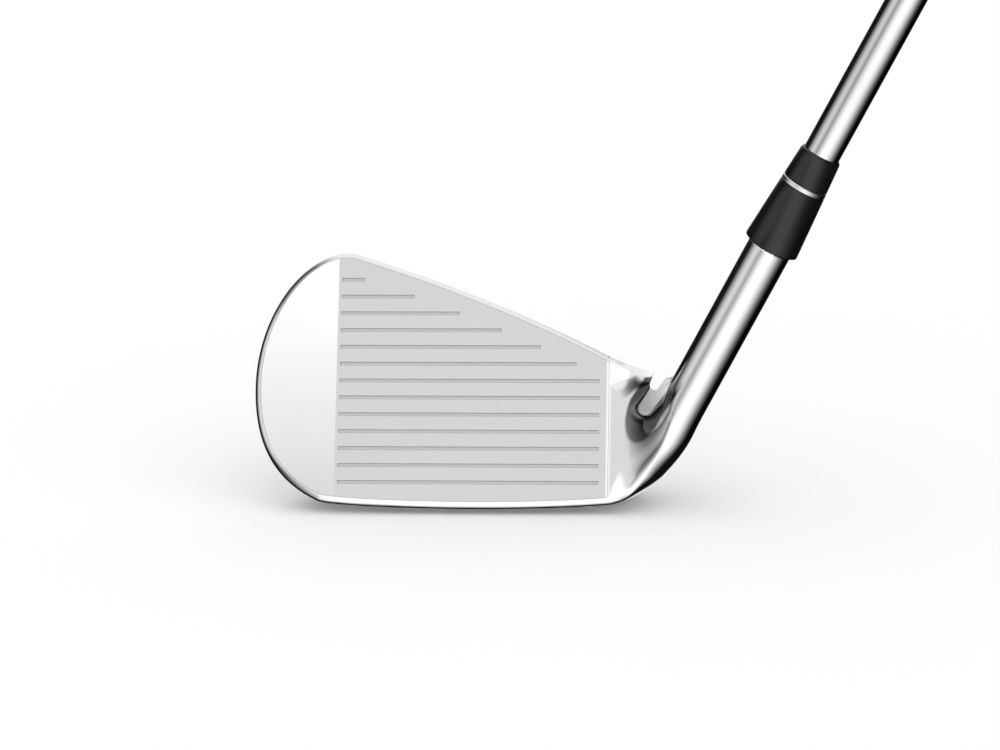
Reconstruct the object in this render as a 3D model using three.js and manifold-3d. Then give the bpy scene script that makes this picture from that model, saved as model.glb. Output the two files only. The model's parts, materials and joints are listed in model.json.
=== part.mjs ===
// Right-handed iron golf club, standing at address.
// Millimetres, +Z up, ground at Z = 0, target towards -Y, toe towards -X, shaft rising towards +X.
// The origin is the point of the sole that touches the ground.
import * as THREE from 'three';
import { mergeVertices } from 'three/addons/utils/BufferGeometryUtils.js';
import Module from 'manifold-3d';

// ---------------------------------------------------------------- driving dimensions
const rad = THREE.MathUtils.degToRad;
const LOFT = rad(30);
const LIE = rad(62);
const CLUB_LENGTH = 940;          // along the shaft axis, from the ground to the grip's butt

const GROOVE_PITCH = 3.9;
const GROOVE_COUNT = 13;
const GROOVE_LENGTH = 58.6;       // the seven lowest grooves are full length
const GROOVE_WIDTH = 0.84;
const GROOVE_DEPTH = 0.32;
const GROOVE_MARGIN = 5.4;        // a short groove ends this far from the topline

const GROOVE_X = -30;             // toe end of the lowest groove
const GROOVE_Y = -7.2;
const GROOVE_Z = 6.6;

const RIM = 1.5;                  // rounded edge all round the strike face
const EDGE_DEPTH = 1.8;           // depth at which the outline is widest
const CAMBER = 0.82;              // fall of the sole below the leading edge
const TOPLINE = 5.4;              // thickness at the top edge
const TOE_THICKNESS = 4.6;        // the same at the toe
const SOLE = 19;                  // width of the sole at mid blade
const SOLE_AT_TOE = 7;
const SOLE_AT_HEEL = 0.88;        // share of its full width
const MUSCLE_HEIGHT = 11;         // the thick lower back rises this far above the sole's rear edge
const SHELF = 0.9;                // it stands this proud of the upper back
const FACE_THICKNESS = 2.4;
const FACE_HEEL = 60.8;           // the strike face ends here, before the neck
const RUNOUT = 4;                 // the tools that cut the head run on this far past the face's heel end
const TOE_END = -19.2;
const TOE_MID = 22.3;             // height up the face of the toe's furthest point
const FACE_GAP = 0.15;
const LEDGE = 2.2;                // the face plate rests on a ledge this wide

const HOSEL_X = 34.7;             // where the shaft axis meets the ground
const HOSEL_Y = -5.75;
const HOSEL_R = 5.05;
const HOSEL_TOP = 69;             // heights along the shaft axis are measured from the ground
const HOSEL_BASE = 38;
const BORE_R = 4.42;
const BORE_BOTTOM = 40;

const TIP_R = 4.2;
const SHAFT_BOTTOM = 41;
const BUTT_R = 7.62;
const CAP_END = 3.4;              // thickness of the grip cap's closed end
const SHAFT_TOP = CLUB_LENGTH - CAP_END;
const WALL = 0.45;
const STEP_COUNT = 11;
const FIRST_STEP = 215;
const STEP_PITCH = 34;
const STEP_RISE = 1.5;            // each step grows over this length of shaft
const TIP_WEIGHT_LENGTH = 18;
const BOND_GAP = 0.05;
const PART_GAP = 0.1;

const FERRULE_R = 6.4;
const FERRULE_TAPER = Math.tan(rad(4));
const RING_AT = 15.2;             // above the hosel's top
const RING_WIDTH = 1.1;
const FERRULE_LENGTH = 24;
const FERRULE_CHAMFER = 0.7;

const POCKET = 3.6;               // the frame is open behind the face plate down to this depth
const CAVITY_INSET = 5.4;
const CAVITY_HEEL = 55;
const CAVITY_FLOOR = 17;
const BADGE_FRONT = -FACE_THICKNESS - PART_GAP;
const BADGE_U = 16;               // the badge's layers shrink towards this point
const BADGE_V = 27;
const ADHESIVE_T = 0.4;
const DAMPER_T = 1.5;
const BADGE_T = 0.6;
const LAYER_GAP = 0.2;

const NOTCH_X = 41.2;             // centre of the crotch's round bottom
const NOTCH_Z = 26.6;
const NOTCH_R = 1.65;
const NOTCH_RISE = 12;

const WEIGHT_R = 4.5;
const WEIGHT_LENGTH = 7;
const WEIGHT_SEAT = 0.3;          // it stops this far short of its pocket's floor
const WEIGHT_TILT = rad(16);
const WEIGHT_X = -24;
const WEIGHT_Y = 2.2;
const WEIGHT_Z = 7.1;

const GRIP_LENGTH = 268;
const GRIP_MOUTH_R = 8.9;
const GRIP_BUTT_R = 13.2;
const GRIP_SWELL = 1.15;          // the grip widens faster towards its butt
const GRIP_LIP = 0.6;             // the grip's mouth is rounded off by this much
const TAPE_T = 0.25;
const CAP_LENGTH = 7;
const CAP_R = 14.2;
const CAP_EDGE = 0.5;
const VENT_R = 1.2;
const BAND_AT = 572;
const BAND_LENGTH = 78;
const BAND_T = 0.3;

const ROUND = 24;                 // facets round the shaft

// ---------------------------------------------------------------- materials
function paint(color, roughness, metalness) {
  return new THREE.MeshStandardMaterial({ color, roughness, metalness });
}
const chrome = () => paint(0xd9dadb, 0.12, 1);
const blasted = () => paint(0xc9c9c9, 0.5, 0.85);
const blackGloss = () => paint(0x0b0b0c, 0.12, 0);
const rubber = () => paint(0x17181a, 0.85, 0);

// ---------------------------------------------------------------- solids: joining and cutting
const wasm = await Module();
wasm.setup();

function solid(geometry) {
  const bare = geometry.clone();
  bare.deleteAttribute('normal');
  bare.deleteAttribute('uv');
  const merged = mergeVertices(bare, 1e-4);
  return new wasm.Manifold(new wasm.Mesh({
    numProp: 3,
    vertProperties: new Float32Array(merged.attributes.position.array),
    triVerts: new Uint32Array(merged.index.array),
  }));
}

function geometryOf(manifold) {
  const mesh = manifold.getMesh();
  const geometry = new THREE.BufferGeometry();
  geometry.setAttribute('position', new THREE.BufferAttribute(new Float32Array(mesh.vertProperties), 3));
  geometry.setIndex(new THREE.BufferAttribute(new Uint32Array(mesh.triVerts), 1));
  geometry.computeVertexNormals();
  return geometry;
}

function cut(body, ...tools) {
  return geometryOf(tools.reduce((rest, tool) => rest.subtract(solid(tool)), solid(body)));
}

// Moves every vertex of a geometry to place(x, y, z).
function warp(geometry, place) {
  const position = geometry.attributes.position;
  for (let i = 0; i < position.count; i++) {
    const p = place(position.getX(i), position.getY(i), position.getZ(i));
    position.setXYZ(i, p.x, p.y, p.z);
  }
  return geometry;
}

const xyz = (x, y, z) => new THREE.Vector3(x, y, z);
const flat = (x, y) => new THREE.Vector2(x, y);
const mix = (a, b, t) => a + (b - a) * t;
const ramp = (x, low, high) => THREE.MathUtils.smoothstep(x, low, high);

// ---------------------------------------------------------------- frames
// Face frame: u runs to the heel along the grooves, v up the face, w out of the face.
const faceFrame = new THREE.Matrix4().makeTranslation(GROOVE_X, GROOVE_Y, GROOVE_Z)
  .multiply(new THREE.Matrix4().makeRotationX(Math.PI / 2 - LOFT));
const toWorld = (geometry) => geometry.applyMatrix4(faceFrame);
const onFace = (u, v, w) => xyz(u, v, w).applyMatrix4(faceFrame);

// Shaft frame: +Z is the shaft axis, starting at the ground.
const shaftFrame = new THREE.Matrix4().makeTranslation(HOSEL_X, HOSEL_Y, 0)
  .multiply(new THREE.Matrix4().makeRotationY(Math.PI / 2 - LIE));

// ---------------------------------------------------------------- outline of the blade, in the face frame
const curve = (...points) => new THREE.CubicBezierCurve(...points.map(([u, v]) => flat(u, v)));
const toeTop = curve([2.8, 53.2], [-7.8, 54.7], [TOE_END, 40], [TOE_END, TOE_MID]);
const toeLow = curve([TOE_END, TOE_MID], [TOE_END, 9.2], [-14.5, 0.6], [-4.5, -4.05]);
const soleToe = curve([-4.5, -4.05], [-2, -5.2], [18.8, -5.8], [31, -5.8]);
const soleHeel = curve([31, -5.8], [43, -5.8], [54, -5.3], [FACE_HEEL, -4.7]);
const topLine = curve([FACE_HEEL, 29.5], [42, 39.6], [17, 48.9], [2.8, 53.2]);
const OUTLINE_STEPS = 9;

const samples = (...curves) => curves.flatMap((each) => each.getPoints(60));
const upper = samples(topLine, toeTop);
const lower = samples(toeLow, soleToe, soleHeel);

// Height of the upper or lower edge at u.
function edge(points, u) {
  for (let i = 1; i < points.length; i++) {
    const [a, b] = [points[i - 1], points[i]];
    if (a.x !== b.x && (a.x - u) * (b.x - u) <= 0) return mix(a.y, b.y, (u - a.x) / (b.x - a.x));
  }
  return u < 0 ? TOE_MID : points[points.length - 1].y;
}

// A slab of the blade's outline, drawn inwards by inset, between two depths behind the face.
// It is cut off at u = heel and at v = floor, which is below the sole unless it is given.
const BELOW_SOLE = -20;
const KEEP = 120;                 // larger than the blade
function slab(inset, front, back, heel = FACE_HEEL, floor = BELOW_SOLE) {
  const points = [];
  const pastHeel = [
    flat(FACE_HEEL + RUNOUT, edge(lower, FACE_HEEL) + 0.4 + inset),
    flat(FACE_HEEL + RUNOUT, edge(upper, FACE_HEEL) - 2.3 - inset),
  ];
  for (const part of [toeTop, toeLow, soleToe, soleHeel, topLine]) {
    for (let i = 0; i < OUTLINE_STEPS; i++) {
      const [p, t] = [part.getPoint(i / OUTLINE_STEPS), part.getTangent(i / OUTLINE_STEPS)];
      points.push(flat(p.x - inset * t.y, p.y + inset * t.x));
    }
    if (part === soleHeel) points.push(...pastHeel);
  }
  const depth = front - back;
  const prism = new THREE.ExtrudeGeometry(new THREE.Shape(points), { depth, bevelEnabled: false })
    .translate(0, 0, back);
  const keep = new THREE.BoxGeometry(KEEP, KEEP, depth + 2)
    .translate(heel - KEEP / 2, floor + KEEP / 2, (front + back) / 2);
  return geometryOf(solid(prism).intersect(solid(keep)));
}

// ---------------------------------------------------------------- cross-section of the blade at u
// Returns points (v, w) going up the face, over the topline, down the back and along the sole.
const SECTION_POINTS = 24;
function section(u) {
  const top = edge(upper, u);
  const low = edge(lower, u);
  const height = top - low;
  const full = ramp(u, TOE_END, 4);
  const sole = mix(SOLE_AT_TOE, SOLE, full) * mix(1, SOLE_AT_HEEL, ramp(u, 40, FACE_HEEL));
  const thick = mix(TOE_THICKNESS, TOPLINE, full);
  const rim = Math.min(RIM, height * 0.2);
  const setBack = RIM * (1 - ramp(u, TOE_END, TOE_END + RIM));

  // run goes back level with the ground, lift goes up
  const solePoint = (run, lift) => flat(
    low + run * Math.sin(LOFT) + lift * Math.cos(LOFT),
    -EDGE_DEPTH - run * Math.cos(LOFT) + lift * Math.sin(LOFT),
  );
  const camber = CAMBER * full;
  const tail = solePoint(sole * 0.97, 1.6);
  const muscleTop = Math.min(low + height * 0.62, tail.x + MUSCLE_HEIGHT);
  const shelf = -thick - SHELF;
  const shoulder = rim * 0.36;
  const front = (share) => flat(mix(low + rim, top - rim, share), -setBack);
  const bulge = (share) => 0.7 * share + 0.3 * share * share;
  const muscle = (share) => flat(mix(tail.x, muscleTop, share), mix(tail.y, shelf, bulge(share)));
  const back = (share) => flat(mix(muscleTop, top - 0.9, share), mix(shelf, -thick, share));
  return [
    ...[0, 0.2, 0.4, 0.6, 0.8, 1].map(front),
    flat(top - shoulder, -setBack - 0.4),
    flat(top, -EDGE_DEPTH - setBack * 0.5),
    flat(top, -thick + 1),
    back(1), back(0.75), back(0.5), back(0.25), back(0),
    muscle(0.75), muscle(0.5), muscle(0.25),
    tail,
    solePoint(sole * 0.94, 0.5),
    solePoint(sole * 0.76, -camber * 0.45),
    solePoint(sole * 0.56, -camber),
    solePoint(sole * 0.34, -camber),
    flat(low, -EDGE_DEPTH),
    flat(low + shoulder, -setBack - 0.4),
  ];
}

// ---------------------------------------------------------------- head: blade, neck and hosel in one loft
const BLADE_STEPS = 26;
const NECK_STEPS = 9;

function hoselRing(height) {
  return Array.from({ length: SECTION_POINTS }, (_, j) => {
    const angle = ((j - 2.5) / SECTION_POINTS) * 2 * Math.PI;
    return xyz(-HOSEL_R * Math.sin(angle), -HOSEL_R * Math.cos(angle), height).applyMatrix4(shaftFrame);
  });
}

function headLoft() {
  const profile = new THREE.Shape(Array.from({ length: SECTION_POINTS }, (_, i) => {
    const angle = (i / SECTION_POINTS) * 2 * Math.PI;
    return flat(Math.cos(angle), Math.sin(angle));
  }));
  const steps = BLADE_STEPS + NECK_STEPS + 1;
  const body = new THREE.ExtrudeGeometry(profile, { depth: steps, steps, bevelEnabled: false });
  const heel = section(FACE_HEEL).map((p) => onFace(FACE_HEEL, p.x, p.y));
  const base = hoselRing(HOSEL_BASE);
  const top = hoselRing(HOSEL_TOP);
  const axis = xyz(0, 0, 1).transformDirection(shaftFrame);
  return warp(body, (x, y, z) => {
    const step = Math.round(z);
    const turn = Math.round((Math.atan2(y, x) / (2 * Math.PI)) * SECTION_POINTS);
    const j = (2 * SECTION_POINTS - turn) % SECTION_POINTS;
    if (step > BLADE_STEPS + NECK_STEPS) return top[j];
    if (step <= BLADE_STEPS) {
      const u = mix(TOE_END + 0.12, FACE_HEEL, 1 - Math.cos((step / BLADE_STEPS) * Math.PI / 2));
      const p = section(u)[j];
      return onFace(u, p.x, p.y);
    }
    const t = (step - BLADE_STEPS) / NECK_STEPS;
    const [a, b] = [heel[j], base[j]];
    const reach = a.distanceTo(b);
    const start = xyz(1, 0, -0.3 * ramp(a.z, 14, 34)).multiplyScalar(reach);
    const end = axis.clone().multiplyScalar(reach * 0.9);
    const [t2, t3] = [t * t, t * t * t];
    return a.clone().multiplyScalar(2 * t3 - 3 * t2 + 1)
      .addScaledVector(start, t3 - 2 * t2 + t)
      .addScaledVector(b, 3 * t2 - 2 * t3)
      .addScaledVector(end, t3 - t2);
  });
}

// A lathe about the shaft axis, given [height, radius] pairs of a closed profile.
function turned(profile) {
  return new THREE.LatheGeometry(profile.map(([h, r]) => flat(r, h)), ROUND).rotateX(Math.PI / 2);
}

const onShaft = (geometry) => geometry.applyMatrix4(shaftFrame);
const rod = (bottom, top, radius) => turned([[bottom, 0], [bottom, radius], [top, radius], [top, 0]]);
const sleeve = (bottom, top, inner, outer) => turned([
  [bottom, inner], [bottom, outer], [top, outer], [top, inner], [bottom, inner],
]);

// ---------------------------------------------------------------- head body
function headBody() {
  const ground = new THREE.BoxGeometry(2 * KEEP, KEEP, 4).translate(0, 0, -2);
  const facePocket = toWorld(slab(RIM, RUNOUT, -FACE_THICKNESS));
  const window = toWorld(slab(RIM + LEDGE, RUNOUT, -POCKET, FACE_HEEL - LEDGE));
  const cavity = toWorld(slab(CAVITY_INSET, -1, -SOLE - RUNOUT, CAVITY_HEEL, CAVITY_FLOOR));
  const bore = onShaft(rod(BORE_BOTTOM, HOSEL_TOP + RUNOUT, BORE_R));
  const weightPocket = weightSlug(WEIGHT_R + PART_GAP, 0, WEIGHT_LENGTH + RUNOUT);
  return cut(headLoft(), ground, facePocket, window, cavity, bore, notch(), weightPocket);
}

// The crotch between the topline's heel end and the hosel: a slot that runs front to back.
function notch() {
  const slot = new THREE.Shape();
  slot.absarc(0, 0, NOTCH_R, Math.PI / 2 + LIE, 1.5 * Math.PI + LIE);
  const [x, y] = [NOTCH_RISE * Math.cos(LIE), NOTCH_RISE * Math.sin(LIE)];
  slot.absarc(x, y, NOTCH_R, LIE - Math.PI / 2, LIE + Math.PI / 2);
  return new THREE.ExtrudeGeometry(slot, { depth: KEEP, curveSegments: 8, bevelEnabled: false })
    .rotateX(Math.PI / 2)
    .translate(NOTCH_X, KEEP / 2, NOTCH_Z);
}

// A short cylinder let into the back of the sole, with its axis square to the back surface.
function weightSlug(radius, from, to) {
  return new THREE.CylinderGeometry(radius, radius, to - from, 24)
    .translate(0, (from + to) / 2, 0)
    .rotateX(WEIGHT_TILT)
    .translate(WEIGHT_X, WEIGHT_Y, WEIGHT_Z);
}

// ---------------------------------------------------------------- strike face and its grooves
function facePlate() {
  const plate = toWorld(slab(RIM + FACE_GAP, 0, -FACE_THICKNESS + FACE_GAP, FACE_HEEL - FACE_GAP));
  const grooves = Array.from({ length: GROOVE_COUNT }, (_, i) => {
    const length = grooveLength(i);
    return new THREE.BoxGeometry(length, GROOVE_WIDTH, 2 * GROOVE_DEPTH)
      .translate(length / 2, i * GROOVE_PITCH, 0)
      .applyMatrix4(faceFrame);
  });
  return cut(plate, ...grooves);
}

// The upper grooves stop at a line that runs a fixed distance below the topline.
function grooveLength(i) {
  const stops = topLine.getPoints(40).map((p, k) => {
    const t = topLine.getTangent(k / 40);
    return flat(p.x - GROOVE_MARGIN * t.y, p.y + GROOVE_MARGIN * t.x);
  });
  const v = i * GROOVE_PITCH;
  const k = stops.findIndex((p) => p.y > v);
  if (k < 1) return GROOVE_LENGTH;
  const [a, b] = [stops[k - 1], stops[k]];
  return Math.min(GROOVE_LENGTH, mix(a.x, b.x, (v - a.y) / (b.y - a.y)));
}

// ---------------------------------------------------------------- badge in the cavity
// Each layer is the cavity's own outline, a little smaller.
function badgeLayer(scale, front, thickness) {
  const layer = slab(CAVITY_INSET, front, front - thickness, CAVITY_HEEL, CAVITY_FLOOR);
  layer.translate(-BADGE_U, -BADGE_V, 0).scale(scale, scale, 1).translate(BADGE_U, BADGE_V, 0);
  return toWorld(layer);
}

// ---------------------------------------------------------------- shaft
function shaftTube() {
  const step = (BUTT_R - TIP_R) / STEP_COUNT;
  const outside = [[SHAFT_BOTTOM, TIP_R]];
  for (let i = 0; i < STEP_COUNT; i++) {
    const height = FIRST_STEP + i * STEP_PITCH;
    outside.push([height, TIP_R + i * step], [height + STEP_RISE, TIP_R + (i + 1) * step]);
  }
  outside.push([SHAFT_TOP, BUTT_R]);
  const inside = outside.map(([h, r]) => [h, r - WALL]).reverse();
  return turned([...outside, ...inside, outside[0]]);
}

// ---------------------------------------------------------------- ferrule
const ferruleR = (above) => FERRULE_R - above * FERRULE_TAPER;
const collar = (from, to, chamfer) => turned([
  [HOSEL_TOP + from, TIP_R + PART_GAP],
  [HOSEL_TOP + from, ferruleR(from) - chamfer],
  [HOSEL_TOP + from + chamfer, ferruleR(from + chamfer)],
  [HOSEL_TOP + to, ferruleR(to)],
  [HOSEL_TOP + to, TIP_R + PART_GAP],
  [HOSEL_TOP + from, TIP_R + PART_GAP],
]);

// ---------------------------------------------------------------- grip
const GRIP_BOTTOM = CLUB_LENGTH - GRIP_LENGTH;
const CAP_BOTTOM = CLUB_LENGTH - CAP_LENGTH;
const GRIP_BORE_R = BUTT_R + TAPE_T + 2 * PART_GAP;
const gripR = (share) => mix(GRIP_MOUTH_R, GRIP_BUTT_R, Math.pow(share, GRIP_SWELL));

function gripSleeve() {
  const rings = 12;
  const outside = Array.from({ length: rings + 1 }, (_, i) => [
    mix(GRIP_BOTTOM + GRIP_LIP, CAP_BOTTOM - PART_GAP, i / rings), gripR(i / rings),
  ]);
  return turned([
    [GRIP_BOTTOM, GRIP_BORE_R], [GRIP_BOTTOM, GRIP_MOUTH_R - GRIP_LIP], ...outside,
    [CAP_BOTTOM - PART_GAP, GRIP_BORE_R], [GRIP_BOTTOM, GRIP_BORE_R],
  ]);
}

function gripCap() {
  const top = CLUB_LENGTH;
  return turned([
    [SHAFT_TOP + PART_GAP, VENT_R], [SHAFT_TOP + PART_GAP, GRIP_BORE_R],
    [CAP_BOTTOM, GRIP_BORE_R], [CAP_BOTTOM, CAP_R - CAP_EDGE], [CAP_BOTTOM + 2 * CAP_EDGE, CAP_R],
    [top - 4 * CAP_EDGE, CAP_R], [top - CAP_EDGE, CAP_R - CAP_EDGE], [top, CAP_R - 4 * CAP_EDGE],
    [top, VENT_R], [SHAFT_TOP + PART_GAP, VENT_R],
  ]);
}

// ---------------------------------------------------------------- the club
const club = new THREE.Group();
const shaftGroup = new THREE.Group();
shaftGroup.applyMatrix4(shaftFrame);
club.add(shaftGroup);

function add(name, geometry, material, group = club) {
  const mesh = new THREE.Mesh(geometry, material);
  mesh.name = name;
  group.add(mesh);
}

add('head_body', headBody(), chrome());
add('face_plate', facePlate(), blasted());
add('back_weight', weightSlug(WEIGHT_R, WEIGHT_SEAT, WEIGHT_LENGTH), paint(0x8f9296, 0.35, 1));

const damperFront = BADGE_FRONT - ADHESIVE_T - LAYER_GAP;
const badgeFront = damperFront - DAMPER_T - LAYER_GAP;
add('badge_adhesive', badgeLayer(0.9, BADGE_FRONT, ADHESIVE_T), paint(0xd8d6cc, 0.7, 0));
add('badge_damper', badgeLayer(0.95, damperFront, DAMPER_T), paint(0x202123, 0.6, 0));
add('badge_plate', badgeLayer(0.8, badgeFront, BADGE_T), paint(0xb9bcc0, 0.3, 1));

const ringTop = RING_AT + RING_WIDTH;
const tipBottom = SHAFT_BOTTOM + 1;
add('hosel_epoxy', sleeve(SHAFT_BOTTOM, HOSEL_TOP - 0.5, TIP_R + BOND_GAP, BORE_R - BOND_GAP),
  paint(0xb7a678, 0.5, 0), shaftGroup);
add('tip_weight', rod(tipBottom, tipBottom + TIP_WEIGHT_LENGTH, TIP_R - WALL - PART_GAP),
  paint(0xb08d4a, 0.4, 1), shaftGroup);
add('ferrule_lower', collar(PART_GAP, RING_AT - PART_GAP, FERRULE_CHAMFER), blackGloss(), shaftGroup);
add('ferrule_ring', collar(RING_AT, ringTop, 0), paint(0xc8c9ca, 0.25, 1), shaftGroup);
add('ferrule_upper', collar(ringTop + PART_GAP, FERRULE_LENGTH, 0), blackGloss(), shaftGroup);
add('shaft', shaftTube(), chrome(), shaftGroup);
add('shaft_band', sleeve(BAND_AT, BAND_AT + BAND_LENGTH, BUTT_R + BOND_GAP, BUTT_R + BAND_T),
  blackGloss(), shaftGroup);
add('grip_tape', sleeve(GRIP_BOTTOM + 4, SHAFT_TOP - 1, BUTT_R + PART_GAP, BUTT_R + PART_GAP + TAPE_T),
  paint(0xcfc7b4, 0.9, 0), shaftGroup);
add('grip_sleeve', gripSleeve(), rubber(), shaftGroup);
add('grip_cap', gripCap(), rubber(), shaftGroup);

export default club;
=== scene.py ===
import json
from math import cos, radians, sin, tan

import bmesh
import bpy
import numpy as np
from mathutils import Matrix, Vector


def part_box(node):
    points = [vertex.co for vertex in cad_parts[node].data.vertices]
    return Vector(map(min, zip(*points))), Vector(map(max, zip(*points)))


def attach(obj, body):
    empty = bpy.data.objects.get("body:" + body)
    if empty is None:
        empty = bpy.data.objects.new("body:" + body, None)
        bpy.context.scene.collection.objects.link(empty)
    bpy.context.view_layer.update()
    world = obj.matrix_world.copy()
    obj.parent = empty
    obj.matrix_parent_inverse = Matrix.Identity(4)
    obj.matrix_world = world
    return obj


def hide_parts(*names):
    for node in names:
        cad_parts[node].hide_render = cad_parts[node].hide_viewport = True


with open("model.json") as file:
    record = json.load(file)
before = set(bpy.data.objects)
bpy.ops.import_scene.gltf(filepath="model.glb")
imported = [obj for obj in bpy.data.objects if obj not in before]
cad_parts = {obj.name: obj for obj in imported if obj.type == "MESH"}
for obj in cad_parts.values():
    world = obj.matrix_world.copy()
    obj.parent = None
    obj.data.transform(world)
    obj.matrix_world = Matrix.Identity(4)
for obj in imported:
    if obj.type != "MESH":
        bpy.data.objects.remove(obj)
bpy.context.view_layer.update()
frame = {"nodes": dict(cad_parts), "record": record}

# ---------------------------------------------------------------- design dimensions, millimetres
MM = 0.001
RIM = 1.5                 # width of the head's edge round the face plate
EDGE_DEPTH = 1.8          # depth at which the blade's outline is widest
TOE = -19.2               # toe end of the blade, along the face
TOE_FULL = 4.0            # from here to the heel the blade has its full section
TOE_T = 4.8               # thickness of the upper blade at the toe
BLADE_T = 5.4             # thickness of the upper blade elsewhere
TOE_SOLE = 7.0            # width of the sole at the toe
SOLE = 19.0               # width of the sole elsewhere
CAMBER = 0.7              # fall of the sole behind its front edge
LEADING = -5.8            # lowest line of the blade's outline
FACE_HEEL = 60.8          # heel end of the strike face
HEEL = 71.6               # heel end of the blade's outline
FACE_T = 2.4
PLATE_GAP = 0.05          # clearance round the face plate
PLATE_INSET = RIM - 0.15
PLATE_HEEL = FACE_HEEL - 0.05
HEEL_BEVEL = 60.2         # from here the plate's heel edge slopes back and is polished
PITCH = 3.9
GROOVES = 13
GROOVE_LENGTH = 58.6
GROOVE_MARGIN = 5.4       # short grooves end this far below the topline
GROOVE_W = 0.84
GROOVE_D = 0.32
CAVITY_DEPTH = 1.0        # the cavity reaches forwards to this depth behind the face
CAVITY_INSET = 5.4
CAVITY_FLOOR = 17.0       # height on the face where the cavity meets the muscle
CAVITY_HEEL = 55.0
HOSEL_R = 5.05
HOSEL_TOP = 69.0          # heights along the shaft axis start at the ground
HOSEL_FOOT = 18.0
NECK_TOP = 26.5           # the bent neck takes over from the straight hosel below this height
TAPER_TOP = 31.0          # the hosel's skin tapers into the neck below this height
TAPER = 0.16
BORE_R = 4.42
BORE_FLOOR = 40.0
BORE_MOUTH = 0.4          # size of the chamfer at the bore's mouth
WEIGHT_R = 4.58

# ---------------------------------------------------------------- frames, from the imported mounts
MOUNTS = {m["name"]: m for m in frame["record"]["mounts"]}
FACE_MOUNT = (29.3, 5.5 * PITCH)      # u and v of the face mount
FACE_W = np.array(MOUNTS["face"]["axis"])
FACE_U = np.array([1.0, 0.0, 0.0])
FACE_V = np.cross(FACE_W, FACE_U)
FACE_O = np.array(MOUNTS["face"]["pos_m"]) / MM - FACE_MOUNT[0] * FACE_U - FACE_MOUNT[1] * FACE_V
AXIS = np.array(MOUNTS["grip_hold"]["axis"])
AXIS_O = np.array(MOUNTS["grip_hold"]["pos_m"]) / MM
AXIS_O = AXIS_O - AXIS * AXIS_O[2] / AXIS[2]
LOFT = np.arcsin(FACE_W[2])


def to_face(p):
    """Toe-to-heel, upward and outward distances of points from the face's origin."""
    q = p - FACE_O
    return q @ FACE_U, q @ FACE_V, q @ FACE_W


def from_face(u, v, w):
    """The points at these distances from the face's origin."""
    point = FACE_O
    for size, way in ((u, FACE_U), (v, FACE_V), (w, FACE_W)):
        point = point + np.multiply.outer(size, way)
    return point


def ramp(x, low, high):
    """0 below low, 1 above high and a smooth step between."""
    t = np.clip((x - low) / (high - low), 0, 1)
    return t * t * (3 - 2 * t)


def mix(a, b, t):
    return a + (b - a) * t


# ---------------------------------------------------------------- outline of the blade in the face frame
OUTLINE = np.array([      # cubic curves, anticlockwise from the heel's top corner
    [(HEEL, 25.3), (67.5, 26.6), (64.0, 27.9), (FACE_HEEL, 29.5)],
    [(FACE_HEEL, 29.5), (42.0, 39.6), (17.0, 48.9), (2.8, 53.2)],
    [(2.8, 53.2), (-7.8, 54.7), (TOE, 40.0), (TOE, 22.3)],
    [(TOE, 22.3), (TOE, 9.2), (-14.5, 0.6), (-4.5, -4.05)],
    [(-4.5, -4.05), (-2.0, -5.2), (18.8, LEADING), (31.0, LEADING)],
    [(31.0, LEADING), (43.0, LEADING), (54.0, -5.3), (FACE_HEEL, -4.7)],
    [(FACE_HEEL, -4.7), (67.0, -4.1), (HEEL, 4.0), (HEEL, 14.0)],
    [(HEEL, 14.0), (HEEL, 18.0), (HEEL, 21.0), (HEEL, 25.3)],
])
TOPLINE = OUTLINE[1]


def bezier(curve, t):
    """Points and slopes of cubic curves, at one parameter for each."""
    a, b, c, d = (curve[..., k, :] for k in range(4))
    t = t[:, None]
    s = 1 - t
    point = a * s ** 3 + b * (3 * s * s * t) + c * (3 * s * t * t) + d * t ** 3
    slope = 3 * ((b - a) * (s * s) + (c - b) * (2 * s * t) + (d - c) * (t * t))
    return point, slope


def offset_curve(curve, t, inset):
    """Points of one curve moved sideways into the outline."""
    point, slope = bezier(np.repeat(curve[None], len(t), 0), t)
    slope = slope / np.linalg.norm(slope, axis=1)[:, None]
    return point + inset * np.stack([-slope[:, 1], slope[:, 0]], 1)


def nearest(points, samples, chunk=20000):
    """The number of the nearest sample to each point."""
    found = np.empty(len(points), int)
    for start in range(0, len(points), chunk):
        part = points[start:start + chunk]
        gap = sum((part[:, None, k] - samples[None, :, k]) ** 2 for k in range(part.shape[1]))
        found[start:start + chunk] = gap.argmin(1)
    return found


def foot(points, curve, t, rounds):
    """Moves each parameter to where its curve passes closest to its point."""
    for _ in range(rounds):
        point, slope = bezier(curve, t)
        t = np.clip(t + ((points - point) * slope).sum(1) / (slope ** 2).sum(1), 0, 1)
    return t


STEPS = 40
PARAM = np.tile((np.arange(STEPS) + 0.5) / STEPS, len(OUTLINE))
WHICH = np.repeat(np.arange(len(OUTLINE)), STEPS)
SAMPLES = bezier(OUTLINE[WHICH], PARAM)[0]


def outline_distance(u, v):
    """Signed distance to the outline, negative inside, exact to the curve."""
    q = np.stack([u, v], -1).astype(np.float64)
    start = nearest(q, SAMPLES)
    curve = OUTLINE[WHICH[start]]
    point, slope = bezier(curve, foot(q, curve, PARAM[start], 3))
    away = q - point
    side = slope[:, 0] * away[:, 1] - slope[:, 1] * away[:, 0]
    return np.where(side > 0, -1.0, 1.0) * np.hypot(away[:, 0], away[:, 1])


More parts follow.
